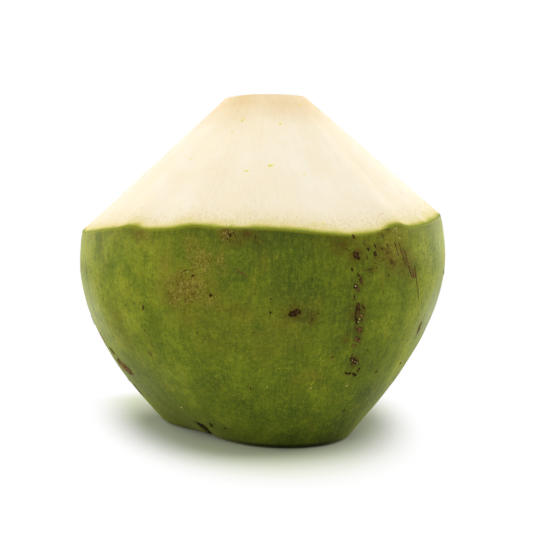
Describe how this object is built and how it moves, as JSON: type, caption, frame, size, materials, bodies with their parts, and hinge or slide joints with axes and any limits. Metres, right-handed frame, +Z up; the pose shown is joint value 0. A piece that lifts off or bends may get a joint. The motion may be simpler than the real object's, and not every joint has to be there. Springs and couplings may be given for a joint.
{
  "type": "peeled coconut",
  "caption": "Young green coconut, pared to a cone of bare husk above its green skin, with a flat tip and a flat foot to stand on.",
  "frame": {"origin": "on the foot's plane, under the middle of the bounding box", "axes": "+Z up from the foot to the tip, the long paring stroke with its low rim towards -Y, +X to the right of it"},
  "size_m": [0.1514, 0.1512, 0.1385],
  "materials": {
    "green_skin": "smooth waxy fruit skin with a soft gloss, fine lengthwise streaks and brown scars",
    "cut_husk": "freshly cut cream husk, matt and moist, with fine fibres along its length",
    "cut_rind": "freshly cut edge of the rind, yellow-green and matt"
  },
  "bodies": {
    "root": {"coconut": "green_skin"}
  },
  "joints": []
}
